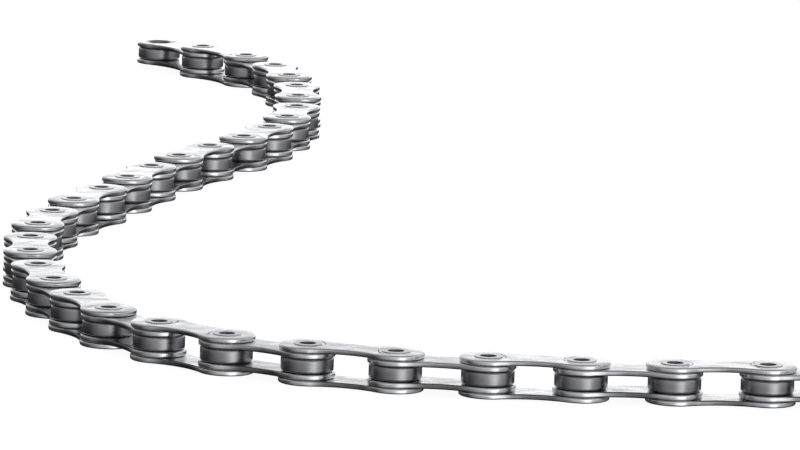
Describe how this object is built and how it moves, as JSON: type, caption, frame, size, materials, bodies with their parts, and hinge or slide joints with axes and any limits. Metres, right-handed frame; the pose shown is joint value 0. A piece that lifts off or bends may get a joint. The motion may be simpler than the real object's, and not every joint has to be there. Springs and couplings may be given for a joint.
{
  "type": "bicycle chain",
  "caption": "Run of slim half-inch-pitch bicycle roller chain with hollow riveted pins, laid on its side in an S, hinged at every pin and open at both ends.",
  "frame": {"origin": "centre of the near end's open bore, half-way between the two inner plates", "axes": "+Z along the pins, upwards as the chain lies on its side; the first link runs from the origin towards -X; the S leads away along +Y"},
  "size_m": [0.1257, 0.3292, 0.0056],
  "materials": {
    "inner_link_steel": "satin nickel-plated steel, lightly tumbled",
    "outer_link_steel": "bright nickel-plated steel, bevelled edges, darker steel pins",
    "roller_steel": "dark turned steel with a film of oil"
  },
  "bodies": {
    "inner_link_01": {"inner_link_01": "inner_link_steel"},
    "inner_link_02": {"inner_link_02": "inner_link_steel"},
    "inner_link_03": {"inner_link_03": "inner_link_steel"},
    "inner_link_04": {"inner_link_04": "inner_link_steel"},
    "inner_link_05": {"inner_link_05": "inner_link_steel"},
    "inner_link_06": {"inner_link_06": "inner_link_steel"},
    "inner_link_07": {"inner_link_07": "inner_link_steel"},
    "inner_link_08": {"inner_link_08": "inner_link_steel"},
    "inner_link_09": {"inner_link_09": "inner_link_steel"},
    "inner_link_10": {"inner_link_10": "inner_link_steel"},
    "inner_link_11": {"inner_link_11": "inner_link_steel"},
    "inner_link_12": {"inner_link_12": "inner_link_steel"},
    "inner_link_13": {"inner_link_13": "inner_link_steel"},
    "inner_link_14": {"inner_link_14": "inner_link_steel"},
    "inner_link_15": {"inner_link_15": "inner_link_steel"},
    "inner_link_16": {"inner_link_16": "inner_link_steel"},
    "inner_link_17": {"inner_link_17": "inner_link_steel"},
    "outer_link_01": {"outer_link_01": "outer_link_steel"},
    "outer_link_02": {"outer_link_02": "outer_link_steel"},
    "outer_link_03": {"outer_link_03": "outer_link_steel"},
    "outer_link_04": {"outer_link_04": "outer_link_steel"},
    "outer_link_05": {"outer_link_05": "outer_link_steel"},
    "outer_link_06": {"outer_link_06": "outer_link_steel"},
    "outer_link_07": {"outer_link_07": "outer_link_steel"},
    "outer_link_08": {"outer_link_08": "outer_link_steel"},
    "outer_link_09": {"outer_link_09": "outer_link_steel"},
    "outer_link_10": {"outer_link_10": "outer_link_steel"},
    "outer_link_11": {"outer_link_11": "outer_link_steel"},
    "outer_link_12": {"outer_link_12": "outer_link_steel"},
    "outer_link_13": {"outer_link_13": "outer_link_steel"},
    "outer_link_14": {"outer_link_14": "outer_link_steel"},
    "outer_link_15": {"outer_link_15": "outer_link_steel"},
    "outer_link_16": {"outer_link_16": "outer_link_steel"},
    "roller_01": {"roller_01": "roller_steel"},
    "roller_02": {"roller_02": "roller_steel"},
    "roller_03": {"roller_03": "roller_steel"},
    "roller_04": {"roller_04": "roller_steel"},
    "roller_05": {"roller_05": "roller_steel"},
    "roller_06": {"roller_06": "roller_steel"},
    "roller_07": {"roller_07": "roller_steel"},
    "roller_08": {"roller_08": "roller_steel"},
    "roller_09": {"roller_09": "roller_steel"},
    "roller_10": {"roller_10": "roller_steel"},
    "roller_11": {"roller_11": "roller_steel"},
    "roller_12": {"roller_12": "roller_steel"},
    "roller_13": {"roller_13": "roller_steel"},
    "roller_14": {"roller_14": "roller_steel"},
    "roller_15": {"roller_15": "roller_steel"},
    "roller_16": {"roller_16": "roller_steel"},
    "roller_17": {"roller_17": "roller_steel"},
    "roller_18": {"roller_18": "roller_steel"},
    "roller_19": {"roller_19": "roller_steel"},
    "roller_20": {"roller_20": "roller_steel"},
    "roller_21": {"roller_21": "roller_steel"},
    "roller_22": {"roller_22": "roller_steel"},
    "roller_23": {"roller_23": "roller_steel"},
    "roller_24": {"roller_24": "roller_steel"},
    "roller_25": {"roller_25": "roller_steel"},
    "roller_26": {"roller_26": "roller_steel"}
  },
  "joints": [
    {"name": "hinge_01", "type": "hinge", "parent": "inner_link_01", "child": "outer_link_01", "pos_m": [-0.0127, 0, 0], "axis": [0, 0, 1], "range_deg": [-94, 86]},
    {"name": "hinge_02", "type": "hinge", "parent": "outer_link_01", "child": "inner_link_02", "pos_m": [-0.02537, -0.00089, 0], "axis": [0, 0, -1], "range_deg": [-94, 86]},
    {"name": "hinge_03", "type": "hinge", "parent": "inner_link_02", "child": "outer_link_02", "pos_m": [-0.03807, -0.00089, 0], "axis": [0, 0, 1], "range_deg": [-86, 94]},
    {"name": "hinge_04", "type": "hinge", "parent": "outer_link_02", "child": "inner_link_03", "pos_m": [-0.05074, 0, 0], "axis": [0, 0, -1], "range_deg": [-94, 86]},
    {"name": "hinge_05", "type": "hinge", "parent": "inner_link_03", "child": "outer_link_03", "pos_m": [-0.06331, 0.00177, 0], "axis": [0, 0, 1], "range_deg": [-80, 100]},
    {"name": "hinge_06", "type": "hinge", "parent": "outer_link_03", "child": "inner_link_04", "pos_m": [-0.07539, 0.00569, 0], "axis": [0, 0, -1], "range_deg": [-100, 80]},
    {"name": "hinge_07", "type": "hinge", "parent": "inner_link_04", "child": "outer_link_04", "pos_m": [-0.08661, 0.01165, 0], "axis": [0, 0, 1], "range_deg": [-77, 103]},
    {"name": "hinge_08", "type": "hinge", "parent": "outer_link_04", "child": "inner_link_05", "pos_m": [-0.09619, 0.01999, 0], "axis": [0, 0, -1], "range_deg": [-103, 77]},
    {"name": "hinge_09", "type": "hinge", "parent": "inner_link_05", "child": "outer_link_05", "pos_m": [-0.10366, 0.03026, 0], "axis": [0, 0, 1], "range_deg": [-77, 103]},
    {"name": "hinge_10", "type": "hinge", "parent": "outer_link_05", "child": "inner_link_06", "pos_m": [-0.10862, 0.04195, 0], "axis": [0, 0, -1], "range_deg": [-95, 85]},
    {"name": "hinge_11", "type": "hinge", "parent": "inner_link_06", "child": "outer_link_06", "pos_m": [-0.11254, 0.05403, 0], "axis": [0, 0, 1], "range_deg": [-85, 95]},
    {"name": "hinge_12", "type": "hinge", "parent": "outer_link_06", "child": "inner_link_07", "pos_m": [-0.1154, 0.0664, 0], "axis": [0, 0, -1], "range_deg": [-95, 85]},
    {"name": "hinge_13", "type": "hinge", "parent": "inner_link_07", "child": "outer_link_07", "pos_m": [-0.11717, 0.07898, 0], "axis": [0, 0, 1], "range_deg": [-85, 95]},
    {"name": "hinge_14", "type": "hinge", "parent": "outer_link_07", "child": "inner_link_08", "pos_m": [-0.11783, 0.09166, 0], "axis": [0, 0, -1], "range_deg": [-95, 85]},
    {"name": "hinge_15", "type": "hinge", "parent": "inner_link_08", "child": "outer_link_08", "pos_m": [-0.11739, 0.10436, 0], "axis": [0, 0, 1], "range_deg": [-85, 95]},
    {"name": "hinge_16", "type": "hinge", "parent": "outer_link_08", "child": "inner_link_09", "pos_m": [-0.11584, 0.11696, 0], "axis": [0, 0, -1], "range_deg": [-95, 85]},
    {"name": "hinge_17", "type": "hinge", "parent": "inner_link_09", "child": "outer_link_09", "pos_m": [-0.1132, 0.12938, 0], "axis": [0, 0, 1], "range_deg": [-85, 95]},
    {"name": "hinge_18", "type": "hinge", "parent": "outer_link_09", "child": "inner_link_10", "pos_m": [-0.10949, 0.14153, 0], "axis": [0, 0, -1], "range_deg": [-89, 91]},
    {"name": "hinge_19", "type": "hinge", "parent": "inner_link_10", "child": "outer_link_10", "pos_m": [-0.10599, 0.15374, 0], "axis": [0, 0, 1], "range_deg": [-91, 89]},
    {"name": "hinge_20", "type": "hinge", "parent": "outer_link_10", "child": "inner_link_11", "pos_m": [-0.1027, 0.166, 0], "axis": [0, 0, -1], "range_deg": [-93, 87]},
    {"name": "hinge_21", "type": "hinge", "parent": "inner_link_11", "child": "outer_link_11", "pos_m": [-0.09878, 0.17808, 0], "axis": [0, 0, 1], "range_deg": [-87, 93]},
    {"name": "hinge_22", "type": "hinge", "parent": "outer_link_11", "child": "inner_link_12", "pos_m": [-0.09422, 0.18994, 0], "axis": [0, 0, -1], "range_deg": [-93, 87]},
    {"name": "hinge_23", "type": "hinge", "parent": "inner_link_12", "child": "outer_link_12", "pos_m": [-0.08906, 0.20154, 0], "axis": [0, 0, 1], "range_deg": [-96, 84]},
    {"name": "hinge_24", "type": "hinge", "parent": "outer_link_12", "child": "inner_link_13", "pos_m": [-0.08513, 0.21362, 0], "axis": [0, 0, -1], "range_deg": [-84, 96]},
    {"name": "hinge_25", "type": "hinge", "parent": "inner_link_13", "child": "outer_link_13", "pos_m": [-0.08249, 0.22604, 0], "axis": [0, 0, 1], "range_deg": [-96, 84]},
    {"name": "hinge_26", "type": "hinge", "parent": "outer_link_13", "child": "inner_link_14", "pos_m": [-0.08117, 0.23867, 0], "axis": [0, 0, -1], "range_deg": [-84, 96]},
    {"name": "hinge_27", "type": "hinge", "parent": "inner_link_14", "child": "outer_link_14", "pos_m": [-0.08117, 0.25137, 0], "axis": [0, 0, 1], "range_deg": [-92, 88]},
    {"name": "hinge_28", "type": "hinge", "parent": "outer_link_14", "child": "inner_link_15", "pos_m": [-0.08161, 0.26406, 0], "axis": [0, 0, -1], "range_deg": [-85, 95]},
    {"name": "hinge_29", "type": "hinge", "parent": "inner_link_15", "child": "outer_link_15", "pos_m": [-0.08316, 0.27667, 0], "axis": [0, 0, 1], "range_deg": [-95, 85]},
    {"name": "hinge_30", "type": "hinge", "parent": "outer_link_15", "child": "inner_link_16", "pos_m": [-0.0858, 0.28909, 0], "axis": [0, 0, -1], "range_deg": [-77, 103]},
    {"name": "hinge_31", "type": "hinge", "parent": "inner_link_16", "child": "outer_link_16", "pos_m": [-0.09116, 0.3006, 0], "axis": [0, 0, 1], "range_deg": [-103, 77]},
    {"name": "hinge_32", "type": "hinge", "parent": "outer_link_16", "child": "inner_link_17", "pos_m": [-0.09898, 0.31061, 0], "axis": [0, 0, -1], "range_deg": [-89, 91]},
    {"name": "roller_01_spin", "type": "hinge", "parent": "inner_link_01", "child": "roller_01", "pos_m": [0, 0, 0], "axis": [0, 0, 1], "continuous": true},
    {"name": "roller_02_spin", "type": "hinge", "parent": "inner_link_01", "child": "roller_02", "pos_m": [-0.0127, 0, 0], "axis": [0, 0, 1], "continuous": true},
    {"name": "roller_03_spin", "type": "hinge", "parent": "inner_link_02", "child": "roller_03", "pos_m": [-0.02537, -0.00089, 0], "axis": [0, 0, 1], "continuous": true},
    {"name": "roller_04_spin", "type": "hinge", "parent": "inner_link_02", "child": "roller_04", "pos_m": [-0.03807, -0.00089, 0], "axis": [0, 0, 1], "continuous": true},
    {"name": "roller_05_spin", "type": "hinge", "parent": "inner_link_03", "child": "roller_05", "pos_m": [-0.05074, 0, 0], "axis": [0, 0, 1], "continuous": true},
    {"name": "roller_06_spin", "type": "hinge", "parent": "inner_link_03", "child": "roller_06", "pos_m": [-0.06331, 0.00177, 0], "axis": [0, 0, 1], "continuous": true},
    {"name": "roller_07_spin", "type": "hinge", "parent": "inner_link_04", "child": "roller_07", "pos_m": [-0.07539, 0.00569, 0], "axis": [0, 0, 1], "continuous": true},
    {"name": "roller_08_spin", "type": "hinge", "parent": "inner_link_04", "child": "roller_08", "pos_m": [-0.08661, 0.01165, 0], "axis": [0, 0, 1], "continuous": true},
    {"name": "roller_09_spin", "type": "hinge", "parent": "inner_link_05", "child": "roller_09", "pos_m": [-0.09619, 0.01999, 0], "axis": [0, 0, 1], "continuous": true},
    {"name": "roller_10_spin", "type": "hinge", "parent": "inner_link_05", "child": "roller_10", "pos_m": [-0.10366, 0.03026, 0], "axis": [0, 0, 1], "continuous": true},
    {"name": "roller_11_spin", "type": "hinge", "parent": "inner_link_06", "child": "roller_11", "pos_m": [-0.10862, 0.04195, 0], "axis": [0, 0, 1], "continuous": true},
    {"name": "roller_12_spin", "type": "hinge", "parent": "inner_link_06", "child": "roller_12", "pos_m": [-0.11254, 0.05403, 0], "axis": [0, 0, 1], "continuous": true},
    {"name": "roller_13_spin", "type": "hinge", "parent": "inner_link_07", "child": "roller_13", "pos_m": [-0.1154, 0.0664, 0], "axis": [0, 0, 1], "continuous": true},
    {"name": "roller_14_spin", "type": "hinge", "parent": "inner_link_07", "child": "roller_14", "pos_m": [-0.11717, 0.07898, 0], "axis": [0, 0, 1], "continuous": true},
    {"name": "roller_15_spin", "type": "hinge", "parent": "inner_link_08", "child": "roller_15", "pos_m": [-0.11783, 0.09166, 0], "axis": [0, 0, 1], "continuous": true},
    {"name": "roller_16_spin", "type": "hinge", "parent": "inner_link_08", "child": "roller_16", "pos_m": [-0.11739, 0.10436, 0], "axis": [0, 0, 1], "continuous": true},
    {"name": "roller_17_spin", "type": "hinge", "parent": "inner_link_09", "child": "roller_17", "pos_m": [-0.11584, 0.11696, 0], "axis": [0, 0, 1], "continuous": true},
    {"name": "roller_18_spin", "type": "hinge", "parent": "inner_link_09", "child": "roller_18", "pos_m": [-0.1132, 0.12938, 0], "axis": [0, 0, 1], "continuous": true},
    {"name": "roller_19_spin", "type": "hinge", "parent": "inner_link_10", "child": "roller_19", "pos_m": [-0.10949, 0.14153, 0], "axis": [0, 0, 1], "continuous": true},
    {"name": "roller_20_spin", "type": "hinge", "parent": "inner_link_10", "child": "roller_20", "pos_m": [-0.10599, 0.15374, 0], "axis": [0, 0, 1], "continuous": true},
    {"name": "roller_21_spin", "type": "hinge", "parent": "inner_link_11", "child": "roller_21", "pos_m": [-0.1027, 0.166, 0], "axis": [0, 0, 1], "continuous": true},
    {"name": "roller_22_spin", "type": "hinge", "parent": "inner_link_11", "child": "roller_22", "pos_m": [-0.09878, 0.17808, 0], "axis": [0, 0, 1], "continuous": true},
    {"name": "roller_23_spin", "type": "hinge", "parent": "inner_link_12", "child": "roller_23", "pos_m": [-0.09422, 0.18994, 0], "axis": [0, 0, 1], "continuous": true},
    {"name": "roller_24_spin", "type": "hinge", "parent": "inner_link_12", "child": "roller_24", "pos_m": [-0.08906, 0.20154, 0], "axis": [0, 0, 1], "continuous": true},
    {"name": "roller_25_spin", "type": "hinge", "parent": "inner_link_13", "child": "roller_25", "pos_m": [-0.08513, 0.21362, 0], "axis": [0, 0, 1], "continuous": true},
    {"name": "roller_26_spin", "type": "hinge", "parent": "inner_link_13", "child": "roller_26", "pos_m": [-0.08249, 0.22604, 0], "axis": [0, 0, 1], "continuous": true}
  ]
}
